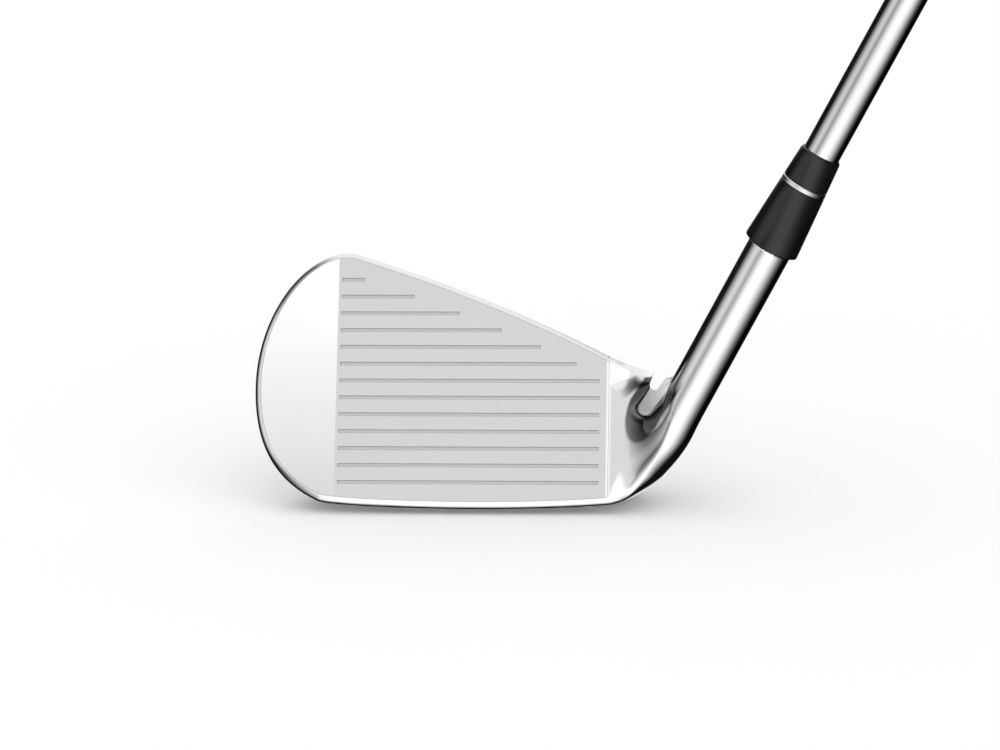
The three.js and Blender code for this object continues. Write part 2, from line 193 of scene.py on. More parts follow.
class OutlineTable:
    """The same distance looked up in a fine table."""

    def __init__(self, step=0.16):
        self.step = step
        self.u0, self.v0 = -26.0, -18.0
        high_u, high_v = 92.0, 60.0
        us = np.arange(self.u0, high_u, step)
        vs = np.arange(self.v0, high_v, step)
        grid_u, grid_v = np.meshgrid(us, vs, indexing="ij")
        self.table = outline_distance(grid_u.ravel(), grid_v.ravel()).reshape(grid_u.shape)

    def __call__(self, u, v):
        x = np.clip((u - self.u0) / self.step, 0, self.table.shape[0] - 1.001)
        y = np.clip((v - self.v0) / self.step, 0, self.table.shape[1] - 1.001)
        i, j = x.astype(int), y.astype(int)
        fx, fy = x - i, y - j
        t = self.table
        return mix(mix(t[i, j], t[i + 1, j], fx), mix(t[i, j + 1], t[i + 1, j + 1], fx), fy)


# ---------------------------------------------------------------- the head as a distance field
def round_max(a, b, r):
    """Intersection with a rounded edge of radius r."""
    return np.minimum(np.maximum(a, b), -r) + np.hypot(np.maximum(a + r, 0), np.maximum(b + r, 0))


def soft_min(a, b, k):
    """Union with a smooth blend of width k."""
    h = np.clip(0.5 + 0.5 * (b - a) / k, 0, 1)
    return mix(b, a, h) - k * h * (1 - h)


def capsule(p, a, b, ra, rb):
    """A rounded cone from a to b."""
    a, b = np.array(a, float), np.array(b, float)
    along = b - a
    t = np.clip((p - a) @ along / (along @ along), 0, 1)
    return np.linalg.norm(p - a - t[:, None] * along, axis=1) - mix(ra, rb, t)


MUSCLE_AT = (CAVITY_FLOOR, -6.3)      # v and w of a point on the muscle's sloping back
MUSCLE_SLOPE = (0.716, -0.698)
MUSCLE_SHIFT = 0.962                  # how far it moves for each millimetre that the sole is narrower
FACE_EDGE_R = 1.7


def edge_field(u, v, w, full, distance):
    """The blade's outline, carried back level with the ground along the sole, with its camber."""
    depth = np.maximum(-w - EDGE_DEPTH, 0)
    share = depth / cos(LOFT) / SOLE
    fall = CAMBER * full * (ramp(share, 0, 0.36) - 1.9 * ramp(share, 0.56, 1.05))
    level = 1 - ramp(v, 10.0, 30.0)
    edge = distance(u, v - level * (depth * tan(LOFT) - fall))
    crown = 0.035 * (w + EDGE_DEPTH + 0.6) ** 2
    return edge + crown * ramp(v, 6.0, 16.0) * ramp(-w, -2, 8)


def blade_field(u, v, w, distance):
    """The blade without its neck: a thin plate above and a thicker muscle over the sole."""
    full = ramp(u, TOE, TOE_FULL)
    width = mix(TOE_SOLE, SOLE, full) * mix(1, 0.88, ramp(u, 40.0, FACE_HEEL))
    plate = -(w + mix(TOE_T, BLADE_T, full))
    muscle = MUSCLE_SLOPE[0] * (v - MUSCLE_AT[0]) + MUSCLE_SLOPE[1] * (w - MUSCLE_AT[1])
    back = soft_min(plate, muscle + MUSCLE_SHIFT * (SOLE - width), 3.0)
    lift = 0.14 * np.maximum(u - FACE_HEEL, 0) * ramp(-v, -29.0, -18.0)
    front = round_max(edge_field(u, v, w, full, distance), w - lift, FACE_EDGE_R)
    return round_max(front, back, mix(2.6, 1.1, ramp(v, 8.0, 24.0)))


def on_axis(height):
    return AXIS_O + AXIS * height


NECK = np.array([on_axis(27.0), on_axis(18.5), (39.6, -1.6, 8.6), (28.0, 5.5, 7.2)])
NECK_STEPS = 24
NECK_T = (np.arange(NECK_STEPS) + 0.5) / NECK_STEPS
NECK_SAMPLES = bezier(np.repeat(NECK[None], NECK_STEPS, 0), NECK_T)[0]


def neck_field(p):
    """The hosel's lower end: a tube that bends towards the toe and swells into the heel."""
    curve = np.broadcast_to(NECK, (len(p), 4, 3))
    t = foot(p, curve, NECK_T[nearest(p, NECK_SAMPLES)], 4)
    point = bezier(curve, t)[0]
    swell = 1.6 * ramp(t, 0.1, 0.9)
    return np.linalg.norm(p - point, axis=1) - HOSEL_R - swell


CROTCH_DIR = np.array([-0.067, 0.957, -0.283])    # the crotch runs back and a little down
SLOT = np.array([39.3, -5.0, 23.3])               # centre of the slot's round bottom
SLOT_RISE = np.array([0.556, 0.272, 0.787])
GAP = np.array([41.4, -2.0, 28.0])                # centre of the bottom of the wider gap above the web
GAP_RISE = np.array([0.496, 0.278, 0.822])
WEB = np.array([41.5, 4.2, 25.0])                 # a point on the web's front
WEB_BACK = np.array([0.25, 0.93, -0.27])


def channel(p, origin, rise, reach, radius, opening):
    """A round-bottomed channel along the crotch, opening out along rise."""
    rise = rise - CROTCH_DIR * (rise @ CROTCH_DIR)
    rise = rise / np.linalg.norm(rise)
    q = p - origin
    along = q @ CROTCH_DIR
    up = np.clip(q @ rise, 0, reach)
    across = q - along[:, None] * CROTCH_DIR - up[:, None] * rise
    return np.linalg.norm(across, axis=1) - radius - opening * up


def slot_field(p):
    """The slot between the topline's heel end and the hosel, as deep as the web's front."""
    depth = (p - WEB) @ WEB_BACK
    return round_max(channel(p, SLOT, SLOT_RISE, 11.0, 1.46, 0.03), depth, 1.2)


def web_field(p):
    """The saddle behind the slot, which ties the blade's heel to the hosel."""
    return capsule(p, (38.0, 5.2, 18.0), (47.4, -1.0, 28.2), 5.4, 4.4)


def gap_field(p):
    """The wider gap above the web, open from front to back."""
    return channel(p, GAP, GAP_RISE, 7.6, 1.15, 0.13)


def heel_rise(u):
    """How far the head may stand out of the face's plane past the face's heel edge."""
    past = np.maximum(u - FACE_HEEL, 0)
    return 0.15 * past + past * past / 18.0


def cavity_field(u, v, w, distance):
    """The open cavity behind the face, above the muscle."""
    outline = round_max(distance(u, v) + CAVITY_INSET, CAVITY_FLOOR - v, 2.6)
    outline = round_max(outline, u - CAVITY_HEEL, 2.0)
    return np.maximum(outline, w + CAVITY_DEPTH)


def cut_crotch(body, p):
    """Cuts the slot, with its rounded lip, and the gap above it."""
    lip = mix(3.6, 0.8, ramp((p - SLOT) @ SLOT_RISE, 1.0, 7.0))
    body = round_max(body, -slot_field(p), lip)
    return round_max(body, -gap_field(p), 0.3)


def head_field(p, distance):
    """The whole head: blade, neck, web and hosel, less the crotch, the cavity and what is below ground."""
    u, v, w = to_face(p)
    q = p - AXIS_O
    height = q @ AXIS
    hosel = np.linalg.norm(q - height[:, None] * AXIS, axis=1) - HOSEL_R
    neck = np.minimum(np.maximum(hosel, NECK_TOP - height), neck_field(p))
    blend = 6.0 + 6.0 * ramp(p[:, 2], 8.0, 18.0) - 10.0 * ramp(p[:, 2], 22.0, 30.0)
    body = soft_min(blade_field(u, v, w, distance), soft_min(neck, web_field(p), 4.0), blend)
    body = round_max(body, w - heel_rise(u), 0.01 + 3.0 * ramp(u, FACE_HEEL, FACE_HEEL + 5.0))
    body = cut_crotch(body, p)
    taper = TAPER * np.maximum(TAPER_TOP - height, 0)
    body = np.minimum(body, np.maximum(hosel + taper, HOSEL_FOOT - height))
    body = np.maximum(body, -p[:, 2])
    body = round_max(body, -cavity_field(u, v, w, distance), 0.55)
    return round_max(body, height - HOSEL_TOP, 0.3)


# ---------------------------------------------------------------- a smooth mesh from a distance field
def sparse_grid(field, low, high, step, block=8):
    """Samples of the field on a grid, worked out only near its surface."""
    blocks = np.ceil((np.array(high) - low) / (step * block)).astype(int)
    size = step * block
    index = np.stack(np.meshgrid(*[np.arange(n) for n in blocks], indexing="ij"), -1).reshape(-1, 3)
    centre = low + (index + 0.5) * size
    rough = field(centre)
    near = np.abs(rough) < size * 1.25
    grid = np.repeat(np.repeat(np.repeat(rough.reshape(blocks), block, 0), block, 1), block, 2)
    local = np.stack(np.meshgrid(*[np.arange(block)] * 3, indexing="ij"), -1).reshape(-1, 3)
    for part in np.array_split(index[near], max(1, near.sum() // 400)):
        cell = (part[:, None, :] * block + local[None]).reshape(-1, 3)
        grid[cell[:, 0], cell[:, 1], cell[:, 2]] = field(low + cell * step)
    return grid


def net_points(grid, inside, n):
    """One vertex in each cell that the surface crosses, and the vertices' numbers by cell."""
    corners = [(i, j, k) for i in (0, 1) for j in (0, 1) for k in (0, 1)]
    count = sum(inside[i:n[0] + i, j:n[1] + j, k:n[2] + k].astype(np.int8) for i, j, k in corners)
    cells = np.argwhere((count > 0) & (count < 8))
    number = np.full(n, -1)
    number[tuple(cells.T)] = np.arange(len(cells))
    total, hits = np.zeros((len(cells), 3)), np.zeros(len(cells))
    for a in corners:
        for axis in range(3):
            if a[axis]:
                continue
            b = tuple(a[k] + (k == axis) for k in range(3))
            fa = grid[tuple((cells + a).T)]
            fb = grid[tuple((cells + b).T)]
            crossed = (fa < 0) != (fb < 0)
            t = np.where(crossed, fa / np.where(crossed, fa - fb, 1), 0)
            point = cells + np.array(a) + t[:, None] * (np.arange(3) == axis)
            total += point * crossed[:, None]
            hits += crossed
    return total / hits[:, None], number


def net_quads(inside, number, n):
    """One quad on each grid edge that the surface crosses."""
    quads = []
    for axis in range(3):
        other = [(axis + 1) % 3, (axis + 2) % 3]
        here = inside.take(range(inside.shape[axis] - 1), axis)
        there = inside.take(range(1, inside.shape[axis]), axis)
        edges = np.argwhere(here != there)
        edges = edges[(edges[:, other[0]] > 0) & (edges[:, other[1]] > 0)]
        edges = edges[(edges[:, other[0]] < n[other[0]]) & (edges[:, other[1]] < n[other[1]])]
        ring = []
        for step0, step1 in ((1, 1), (0, 1), (0, 0), (1, 0)):
            cell = edges.copy()
            cell[:, other[0]] -= step0
            cell[:, other[1]] -= step1
            ring.append(number[tuple(cell.T)])
        quad = np.stack(ring, 1)
        flip = ~here[tuple(edges.T)]
        quad[flip] = quad[flip][:, ::-1]
        quads.append(quad)
    return np.concatenate(quads)


def surface_net(grid, low, step):
    """A closed quad mesh round the part of the grid that is below zero."""
    inside = grid < 0
    n = np.array(grid.shape) - 1
    points, number = net_points(grid, inside, n)
    return low + points * step, net_quads(inside, number, n)


def settle(points, field, rounds=3, small=0.004):
    """Moves the vertices straight on to the field's surface."""
    for _ in range(rounds):
        value = field(points)
        slope = np.stack([(field(points + small * np.eye(3)[k]) - value) / small for k in range(3)], 1)
        points = points - slope * (value / np.maximum((slope ** 2).sum(1), 0.25))[:, None]
    return points


# ---------------------------------------------------------------- helpers for pieces
NODES = frame["nodes"]


def linked(name, mesh):
    """A new object with this mesh, in the scene."""
    piece = bpy.data.objects.new(name, mesh)
    bpy.context.scene.collection.objects.link(piece)
    return piece


def finish_piece(piece, material, node, sharp):
    """Gives a piece its material, its shading and its place in the frame."""
    piece.data.materials.clear()
    piece.data.materials.append(material)
    piece.data.shade_smooth()
    piece.data.set_sharp_from_angle(angle=radians(sharp))
    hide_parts(node)
    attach(piece, "root")


def fast_mesh(name, points, quads):
    """A mesh object straight from arrays."""
    mesh = bpy.data.meshes.new(name)
    mesh.vertices.add(len(points))
    mesh.vertices.foreach_set("co", (points * MM).ravel())
    mesh.loops.add(quads.size)
    mesh.loops.foreach_set("vertex_index", quads.ravel().astype(np.int32))
    mesh.polygons.add(len(quads))
    mesh.polygons.foreach_set("loop_start", np.arange(len(quads), dtype=np.int32) * 4)
    mesh.update(calc_edges=True)
    mesh.validate()
    return linked(name, mesh)


def solid(name, points, faces):
    """A closed mesh object with its normals outwards."""
    mesh = bpy.data.meshes.new(name)
    mesh.from_pydata((np.array(points) * MM).tolist(), [], faces)
    piece = linked(name, mesh)
    outwards(piece)
    return piece


def prism(name, ring, direction, low, high):
    """A closed prism: the ring of points swept from low to high along a direction."""
    n = len(ring)
    points = np.concatenate([ring + direction * low, ring + direction * high])
    faces = [list(range(n))[::-1], list(range(n, 2 * n))]
    faces += [[i, (i + 1) % n, n + (i + 1) % n, n + i] for i in range(n)]
    return solid(name, points, faces)


def outwards(piece):
    """Turns every face's normal outwards."""
    work = bmesh.new()
    work.from_mesh(piece.data)
    bmesh.ops.recalc_face_normals(work, faces=work.faces)
    work.to_mesh(piece.data)
    work.free()


def apply_modifier(piece, modifier):
    with bpy.context.temp_override(object=piece, active_object=piece):
        bpy.context.view_layer.objects.active = piece
        bpy.ops.object.modifier_apply(modifier=modifier.name)


def carve(piece, tools):
    """Cuts every tool out of a piece, then removes the tools."""
    for tool in tools:
        cut = piece.modifiers.new("cut", "BOOLEAN")
        cut.operation = "DIFFERENCE"
        cut.solver = "MANIFOLD"
        cut.object = tool
        apply_modifier(piece, cut)
    for tool in tools:
        bpy.data.objects.remove(tool)


def shaft_frame():
    """Two directions square to the shaft and to each other."""
    side = np.array([0.0, -1.0, 0.0])
    return side, np.cross(AXIS, side)


def lathe(profile, segments=96):
    """Points and faces of a closed turned body; the profile is (radius, height) pairs round its section."""
    e1, e2 = shaft_frame()
    turn = np.arange(segments) * 2 * np.pi / segments
    spoke = np.outer(np.cos(turn), e1) + np.outer(np.sin(turn), e2)
    points, rings = [], []
    for radius, height in profile:
        if radius < 1e-6:
            rings.append([len(points)] * segments)
            points.append(on_axis(height))
        else:
            rings.append(list(range(len(points), len(points) + segments)))
            points.extend(on_axis(height) + radius * spoke)
    faces = []
    for a, b in zip(rings, rings[1:] + rings[:1]):
        for i in range(segments):
            j = (i + 1) % segments
            face = list(dict.fromkeys([a[i], a[j], b[j], b[i]]))
            if len(face) > 2:
                faces.append(face)
    return points, faces


def turned(name, profile, material, node, sharp=30.0):
    """A finished piece turned round the shaft's axis."""
    points, faces = lathe(profile)
    mesh = bpy.data.meshes.new(name)
    mesh.from_pydata((np.asarray(points) * MM).tolist(), [], faces)
    mesh.validate()
    piece = linked(name, mesh)
    finish_piece(piece, material, node, sharp)
    outwards(piece)


def cad_turned(node):
    """Height along the shaft's axis and distance from it, for each vertex of a CAD node."""
    points = np.array([v.co for v in NODES[node].data.vertices]) / MM - AXIS_O
    height = points @ AXIS
    return height, np.linalg.norm(points - height[:, None] * AXIS, axis=1)


def span(node):
    """Lowest and highest place of a CAD node along the shaft axis, and its greatest radius."""
    height, radius = cad_turned(node)
    return height.min(), height.max(), radius.max()


def corner(radius, height, size, steps=6):
    """A quarter-round upper corner of a turned profile, from its side to its end face."""
    turn = np.linspace(0, np.pi / 2, steps + 1)
    return [(radius - size * (1 - cos(a)), height - size * (1 - sin(a))) for a in turn]


# ---------------------------------------------------------------- materials
class Tree:
    """Short calls for building a node tree."""

    def __init__(self, owner):
        owner.use_nodes = True
        self.tree = owner.node_tree
        self.tree.nodes.clear()

    def add(self, kind, **settings):
        node = self.tree.nodes.new(kind)
        for key, value in settings.items():
            setattr(node, key, value)
        return node

    def link(self, a, b):
        self.tree.links.new(a, b)

    def put(self, socket, value):
        if isinstance(value, (int, float, tuple)):
            socket.default_value = value
        else:
            self.link(value, socket)

    def span(self, value, low, high, to_low, to_high, kind="LINEAR"):
        """The value's place between low and high, carried over to another range and kept inside it."""
        node = self.add("ShaderNodeMapRange", interpolation_type=kind)
        self.put(node.inputs["Value"], value)
        for key, number in zip(("From Min", "From Max", "To Min", "To Max"), (low, high, to_low, to_high)):
            node.inputs[key].default_value = number
        return node.outputs["Result"]

    def math(self, operation, a, b=0.0):
        node = self.add("ShaderNodeMath", operation=operation)
        self.put(node.inputs[0], a)
        self.put(node.inputs[1], b)
        return node.outputs[0]

    def mixed(self, share, a, b, kind="FLOAT"):
        node = self.add("ShaderNodeMix", data_type=kind)
        self.put(node.inputs["Factor"], share)
        self.put(node.inputs["A"], a)
        self.put(node.inputs["B"], b)
        return node.outputs["Result"]

    def blend(self, share, a, b):
        return self.mixed(share, a, b, "RGBA")


class Nodes(Tree):
    """A new material's nodes round one principled shader."""

    def __init__(self, name):
        self.material = bpy.data.materials.new(name)
        super().__init__(self.material)
        self.out = self.add("ShaderNodeOutputMaterial")
        self.shader = self.add("ShaderNodeBsdfPrincipled")
        self.link(self.shader.outputs[0], self.out.inputs[0])

    def place(self, scale=(1, 1, 1)):
        """Object coordinates, in metres, scaled."""
        where = self.add("ShaderNodeTexCoord").outputs["Object"]
        mapping = self.add("ShaderNodeMapping")
        mapping.inputs["Scale"].default_value = scale
        self.link(where, mapping.inputs[0])
        return mapping.outputs[0]

    def noise(self, where, scale, detail=3.0, rough=0.55):
        node = self.add("ShaderNodeTexNoise")
        self.link(where, node.inputs["Vector"])
        node.inputs["Scale"].default_value = scale
        node.inputs["Detail"].default_value = detail
        node.inputs["Roughness"].default_value = rough
        return node.outputs["Fac"]

    def bump(self, height, strength, distance):
        node = self.add("ShaderNodeBump")
        self.put(node.inputs["Strength"], strength)
        node.inputs["Distance"].default_value = distance
        self.link(height, node.inputs["Height"])
        return node.outputs[0]

    def along(self, direction, origin):
        """Distance in millimetres from a point along a direction."""
        where = self.add("ShaderNodeTexCoord").outputs["Object"]
        shift = self.add("ShaderNodeVectorMath", operation="SUBTRACT")
        self.link(where, shift.inputs[0])
        shift.inputs[1].default_value = tuple(np.array(origin) * MM)
        dot = self.add("ShaderNodeVectorMath", operation="DOT_PRODUCT")
        self.link(shift.outputs[0], dot.inputs[0])
        dot.inputs[1].default_value = tuple(np.array(direction) / MM)
        return dot.outputs["Value"]

    def set(self, **values):
        for key, value in values.items():
            self.put(self.shader.inputs[key.replace("_", " ")], value)
        return self.material


def grey(level):
    return (level, level, level, 1.0)


class Chrome(Nodes):
    """Polished chrome with faint smudges and hairlines."""

    def __init__(self, name, stretch, tones):
        super().__init__(name)
        self.smudge = self.noise(self.place(), 55.0, 4.0)
        self.lines = self.noise(self.place(stretch), 900.0, 3.0, 0.7)
        self.colour = self.blend(self.span(self.smudge, 0.3, 0.75, 0.0, 1.0), *map(grey, tones))
        self.polish = self.span(self.smudge, 0.35, 0.7, 0.05, 0.10)

    def finish(self, colour, polish, metallic):
        roughness = self.math("ADD", polish, self.span(self.lines, 0.6, 0.8, 0.0, 0.03))
        return self.set(Base_Color=colour, Metallic=metallic, Roughness=roughness,
                        Normal=self.bump(self.lines, 0.05, 0.00001))


def shaft_chrome():
    n = Chrome("shaft_chrome", (1, 1, 12), (0.80, 0.76))
    return n.finish(n.colour, n.polish, 1.0)


PAINTED_PATCH_LONG = 8.2         # the patch of painted shade and painted light reaches this far below the slot
PAINTED_PATCH_WIDE = 4.0         # and this far to either side


def painted_patch_mask(n, rise):
    """1 inside a rounded patch round the slot and below it, 0 outside: the patch that carries the plating's
    painted shade and painted light.
    """
    across = n.along(np.cross(SLOT_RISE, -CROTCH_DIR), SLOT)
    under = n.math("MINIMUM", rise, 0.0)
    below = n.math("DIVIDE", under, PAINTED_PATCH_LONG)
    leaning = n.math("ADD", n.math("ADD", across, 0.1), n.math("MULTIPLY", under, 0.2))
    aside = n.math("DIVIDE", leaning, PAINTED_PATCH_WIDE)
    away = n.math("SQRT", n.math("ADD", n.math("MULTIPLY", below, below), n.math("MULTIPLY", aside, aside)))
    return n.math("MULTIPLY", n.span(away, 0.9, 1.02, 1.0, 0.0), n.span(rise, 6.0, 10.0, 1.0, 0.0))


def head_chrome():
    """The head's plating, with a painted shade in the recess round the slot, deepening towards the slot,
    and a painted light, pale and matt, on the web.
    """
    n = Chrome("head_chrome", (1, 14, 14), (0.86, 0.82))
    rise = n.along(SLOT_RISE, SLOT)
    near = painted_patch_mask(n, rise)
    depth = n.span(n.along(WEB_BACK, WEB), -1.8, -1.2, 0.0, 1.0)
    # painted shade: the recess in front of the web gets a deeper grey base colour, deepest next to the slot
    painted_shade_share = n.math("MULTIPLY", near, n.math("SUBTRACT", 1.0, depth))
    # painted light: the web gets a pale, matt, non-metallic base colour
    web = n.math("MULTIPLY", near, depth)
    painted_shade_tone = n.blend(n.span(rise, -8.0, 1.0, 0.0, 1.0), grey(0.26), grey(0.08))
    colour = n.blend(web, n.blend(painted_shade_share, n.colour, painted_shade_tone), grey(0.97))
    polish = n.math("ADD", n.polish, n.math("MULTIPLY", web, 0.35))
    return n.finish(colour, polish, n.mixed(web, 1.0, 0.0))


def blasted_colour(n, grain, cloud):
    """The blasted field, a little darker on the grooves' floors, partly wear and partly painted shade."""
    # grooves' floors darker: partly wear, partly painted shade in the recess
    groove_wear_and_shade = n.span(n.along(-FACE_W, FACE_O), 0.03, 0.3, 0.0, 1.0)
    colour = n.blend(n.span(grain, 0.3, 0.7, 0.0, 1.0), grey(0.66), grey(0.76))
    colour = n.blend(n.span(cloud, 0.35, 0.7, 0.0, 0.25), colour, grey(0.66))
    return n.blend(groove_wear_and_shade, colour, grey(0.60))


def polished_colour(n, u, cloud):
    """The polished toe, with a painted shade that makes it darker towards the sole, and the polished strip
    at the heel.
    """
    up_face = n.along(FACE_V, FACE_O)
    # painted shade: the polished toe's base colour is darker towards the sole
    colour = n.blend(n.span(up_face, -4.0, 44.0, 0.0, 1.0), grey(0.54), grey(0.86))
    colour = n.blend(n.span(cloud, 0.3, 0.7, 0.0, 0.5), colour, grey(0.74))
    return n.blend(n.span(u, 20.0, 40.0, 0.0, 1.0), colour, grey(0.86))


def face_finish():
    """A blasted field between the polished toe and a polished strip at the heel."""
    n = Nodes("face_blasted")
    u = n.along(FACE_U, FACE_O)
    toe_side = n.span(u, -0.78, -0.70, 0.0, 1.0)
    heel_side = n.span(u, HEEL_BEVEL - 0.05, HEEL_BEVEL + 0.02, 1.0, 0.0)
    field = n.math("MULTIPLY", toe_side, heel_side)
    grain = n.noise(n.place(), 5200.0, 2.0, 0.6)
    cloud = n.noise(n.place(), 38.0, 3.0)
    colour = n.blend(field, polished_colour(n, u, cloud), blasted_colour(n, grain, cloud))
    polish = n.span(cloud, 0.35, 0.7, 0.16, 0.24)
    roughness = n.mixed(field, polish, n.span(grain, 0.3, 0.7, 0.46, 0.58))
    strength = n.mixed(field, 0.02, 0.30)
    return n.set(Base_Color=colour, Metallic=1.0, Roughness=roughness,
                 Normal=n.bump(grain, strength, 0.00002))


def plain_metal(name, tone, rough, grain=2500.0, bump=0.1):
    """Turned or blasted metal with a fine grain."""
    n = Nodes(name)
    fine = n.noise(n.place(), grain, 3.0)
    coarse = n.noise(n.place(), 120.0, 3.0)
    colour = n.blend(n.span(coarse, 0.3, 0.7, 0.0, 1.0), tone, tuple(0.86 * c for c in tone[:3]) + (1.0,))
    return n.set(Base_Color=colour, Metallic=1.0, Roughness=n.span(fine, 0.3, 0.7, rough, rough + 0.12),
                 Normal=n.bump(fine, bump, 0.00002))


def gloss_black(name):
    """Moulded ferrule plastic, polished, with faint swirls."""
    n = Nodes(name)
    swirl = n.noise(n.place((1, 8, 8)), 700.0, 3.0)
    smudge = n.noise(n.place(), 90.0, 3.0)
    colour = n.blend(n.span(smudge, 0.3, 0.7, 0.0, 1.0), grey(0.004), grey(0.007))
    return n.set(Base_Color=colour, Roughness=n.span(smudge, 0.3, 0.7, 0.07, 0.14), IOR=1.5,
                 Normal=n.bump(swirl, 0.03, 0.00001))


def rubber(name, tone):
    """Moulded grip rubber: matt, with a pebbled skin and paler rubbed patches."""
    n = Nodes(name)
    pebble = n.add("ShaderNodeTexVoronoi")
    n.link(n.place(), pebble.inputs["Vector"])
    pebble.inputs["Scale"].default_value = 2400.0
    rubbed = n.noise(n.place(), 60.0, 4.0)
    colour = n.blend(n.span(rubbed, 0.4, 0.75, 0.0, 1.0), grey(tone), grey(tone * 1.7))
    return n.set(Base_Color=colour, Roughness=n.span(rubbed, 0.35, 0.7, 0.62, 0.82),
                 Normal=n.bump(pebble.outputs["Distance"], 0.35, 0.0001))


def polymer(name, tone, rough=0.4):
    """Plain moulded or cured polymer with a slight mottle."""
    n = Nodes(name)
    mottle = n.noise(n.place(), 300.0, 4.0)
    fine = n.noise(n.place(), 3000.0, 2.0)
    colour = n.blend(n.span(mottle, 0.3, 0.7, 0.0, 1.0), tone, tuple(0.8 * c for c in tone[:3]) + (1.0,))
    return n.set(Base_Color=colour, Roughness=n.span(mottle, 0.3, 0.7, rough, rough + 0.15),
                 Normal=n.bump(fine, 0.15, 0.00002))


def paper_tape(name):
    """Masking tape: a crepe texture with fine cross wrinkles."""
    n = Nodes(name)
    crepe = n.noise(n.place((6, 1, 6)), 900.0, 4.0)
    colour = n.blend(n.span(crepe, 0.3, 0.7, 0.0, 1.0), (0.55, 0.47, 0.30, 1.0), (0.46, 0.38, 0.23, 1.0))
    return n.set(Base_Color=colour, Roughness=n.span(crepe, 0.3, 0.7, 0.75, 0.9),
                 Normal=n.bump(crepe, 0.4, 0.00005))


def printed_band(name):
    """Shaft band: a grey film with two darker rings near each end and no lettering."""
    n = Nodes(name)
    height = n.along(AXIS, AXIS_O)
    low, high, _ = span("shaft_band")
    middle = n.math("ABSOLUTE", n.math("SUBTRACT", height, (low + high) / 2))

    def ring(start, end):
        """1 between two distances from the band's middle."""
        return n.math("MULTIPLY", n.span(middle, start, start + 0.2, 0.0, 1.0),
                      n.span(middle, end, end + 0.2, 1.0, 0.0))

    mottle = n.noise(n.place(), 400.0, 3.0)
    base = n.blend(n.span(mottle, 0.3, 0.7, 0.0, 1.0), grey(0.30), grey(0.26))
    colour = n.blend(n.math("MAXIMUM", ring(30.0, 33.0), ring(22.0, 23.0)), base, grey(0.03))
    return n.set(Base_Color=colour, Roughness=n.span(mottle, 0.3, 0.7, 0.22, 0.34), Metallic=0.4,
                 Normal=n.bump(mottle, 0.05, 0.00001))


# ---------------------------------------------------------------- the pieces
def inset_outline(inset, heel, steps=36):
    """The blade's outline, moved inwards and cut off at the heel."""
    t = np.arange(steps) / steps
    ring = np.concatenate([offset_curve(curve, t, inset) for curve in OUTLINE])
    side = ring[:, 0] - heel
    kept = []
    for i in range(len(ring)):
        j = (i + 1) % len(ring)
        if side[i] <= 0:
            kept.append(ring[i])
        if (side[i] <= 0) != (side[j] <= 0):
            share = side[i] / (side[i] - side[j])
            kept.append(ring[i] + share * (ring[j] - ring[i]))
    kept = np.array(kept)
    gap = np.linalg.norm(kept - np.roll(kept, 1, 0), axis=1)
    return kept[gap > 1e-4]


def on_face(ring):
    """A ring of outline points, placed in the face's plane."""
    return from_face(ring[:, 0], ring[:, 1], np.zeros(len(ring)))


def circle(centre, normal, radius, count=64):
    """A ring of points about a centre, square to the normal, which has no X part."""
    a = (np.arange(count) / count * 2 * np.pi)[:, None]
    across = np.cross(normal, FACE_U)
    return centre + radius * (np.cos(a) * FACE_U + np.sin(a) * across)


def face_pockets():
    """Cutters for the plate's seat and for the window behind it."""
    window_inset, window_heel, window_depth = RIM + 2.2, 58.6, 3.6
    above_face, overlap = 1.5, 0.01
    seat = on_face(inset_outline(PLATE_INSET, PLATE_HEEL))
    window = on_face(inset_outline(window_inset, window_heel))
    return [prism("pocket", seat, FACE_W, -FACE_T, above_face),
            prism("window", window, FACE_W, -window_depth, -FACE_T + overlap)]


def bore_tool():
    """The hosel's bore with a chamfered mouth."""
    mouth, above = BORE_R + BORE_MOUTH, HOSEL_TOP + 6.0
    profile = [(0, BORE_FLOOR), (BORE_R, BORE_FLOOR), (BORE_R, HOSEL_TOP - BORE_MOUTH),
               (mouth, HOSEL_TOP), (mouth, above), (0, above)]
    return solid("bore", *lathe(profile, segments=72))


def weight_tool():
    """The weight's pocket, from its floor out through the back of the muscle."""
    tilt = radians(16)
    axis = np.array([0.0, cos(tilt), sin(tilt)])
    floor = np.array([-24.0, 2.2, 7.1])
    length = 11.0
    return prism("weight_pocket", circle(floor, axis, WEIGHT_R), axis, 0.0, length)


def build_head():
    """The head, meshed from its distance field and cut for the plate, the shaft and the weight."""
    table = OutlineTable()

    def field(p):
        return head_field(p, table)

    margin = 2.0
    low, high = (np.array(b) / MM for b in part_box("head_body"))
    step = 0.3
    low, high = low - margin, high + margin
    points, quads = surface_net(sparse_grid(field, low, high, step), low, step)
    head = fast_mesh("head", settle(points, field), quads)
    carve(head, face_pockets() + [bore_tool(), weight_tool()])
    finish_piece(head, head_chrome(), "head_body", 40.0)


def groove_end(v):
    """Where a score line ends towards the heel: short ones keep clear of the topline."""
    inner = offset_curve(TOPLINE, np.linspace(0, 1, 400), GROOVE_MARGIN)
    reach = np.interp(v, inner[:, 1], inner[:, 0])
    return GROOVE_LENGTH if v < inner[0, 1] else min(GROOVE_LENGTH, reach)


def groove_cutter(v, end):
    """Corners and faces of one score line's cutter: a flat-bottomed V along the face."""
    half, floor, lift = GROOVE_W / 2, GROOVE_W / 2 - 0.13, 0.2
    top = half + lift * (half - floor) / GROOVE_D
    section = [(-top, lift), (top, lift), (floor, -GROOVE_D), (-floor, -GROOVE_D)]
    points = [(u, v + a, b) for u in (0.0, end) for a, b in section]
    faces = [(0, 1, 2, 3), (7, 6, 5, 4)] + [(i, 4 + i, 4 + (i + 1) % 4, (i + 1) % 4) for i in range(4)]
    return points, faces


